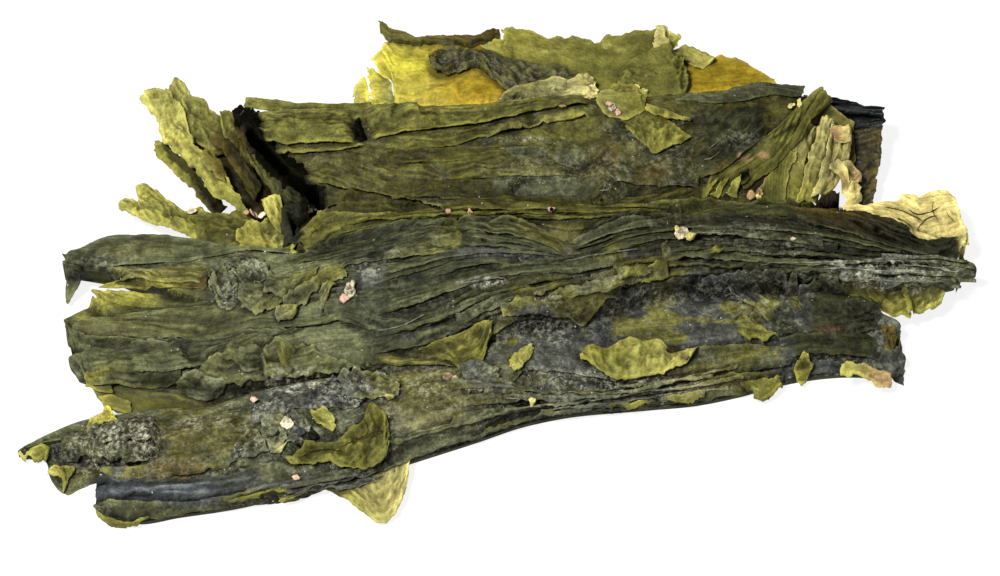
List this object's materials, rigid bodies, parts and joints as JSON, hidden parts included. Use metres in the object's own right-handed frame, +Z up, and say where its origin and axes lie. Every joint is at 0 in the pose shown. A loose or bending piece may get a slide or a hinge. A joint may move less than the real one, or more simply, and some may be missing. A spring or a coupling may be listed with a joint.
{
  "type": "dried kelp sheet",
  "caption": "Crumpled folded sheet of dried kelp lying flat: long pleated runs of dark blade with thin torn yellow-green margin leaves.",
  "frame": {"origin": "on the ground, under the middle of the whole", "axes": "+X along the length of the folded blade, to the right in the picture; +Y to the back; +Z up"},
  "size_m": [0.2795, 0.1847, 0.029],
  "materials": {
    "kelp_back_run": "dull olive-green dried blade, long soft wrinkles",
    "kelp_middle_run": "dark grey-green dried blade, close pleats with a light dust of salt",
    "kelp_front_run": "slate-grey to olive dried blade with salt dust",
    "kelp_dark": "nearly black, slightly glossy dried blade",
    "kelp_green": "thin crumpled yellow-green margin",
    "kelp_yellow": "thin bright yellow, slightly translucent margin",
    "kelp_tan": "thin sandy ruffled margin with brown veins"
  },
  "bodies": {
    "root": {"back_run": "kelp_back_run", "middle_run": "kelp_middle_run", "front_run": "kelp_front_run", "back_yellow_leaf": "kelp_yellow", "back_green_leaf": "kelp_green", "back_amber_leaf": "kelp_yellow", "back_dark_ruffle": "kelp_dark", "left_upper_leaf": "kelp_green", "left_lower_leaf": "kelp_green", "left_ply": "kelp_yellow", "right_dark_ply": "kelp_dark", "right_ruffle": "kelp_tan", "right_roll": "kelp_green", "right_tan_leaf": "kelp_tan", "right_green_ruffle": "kelp_green", "crest_leaf": "kelp_green", "front_green_leaf": "kelp_green", "front_yellow_leaf": "kelp_yellow", "right_end_leaf": "kelp_green", "bottom_leaf": "kelp_yellow"}
  },
  "joints": []
}
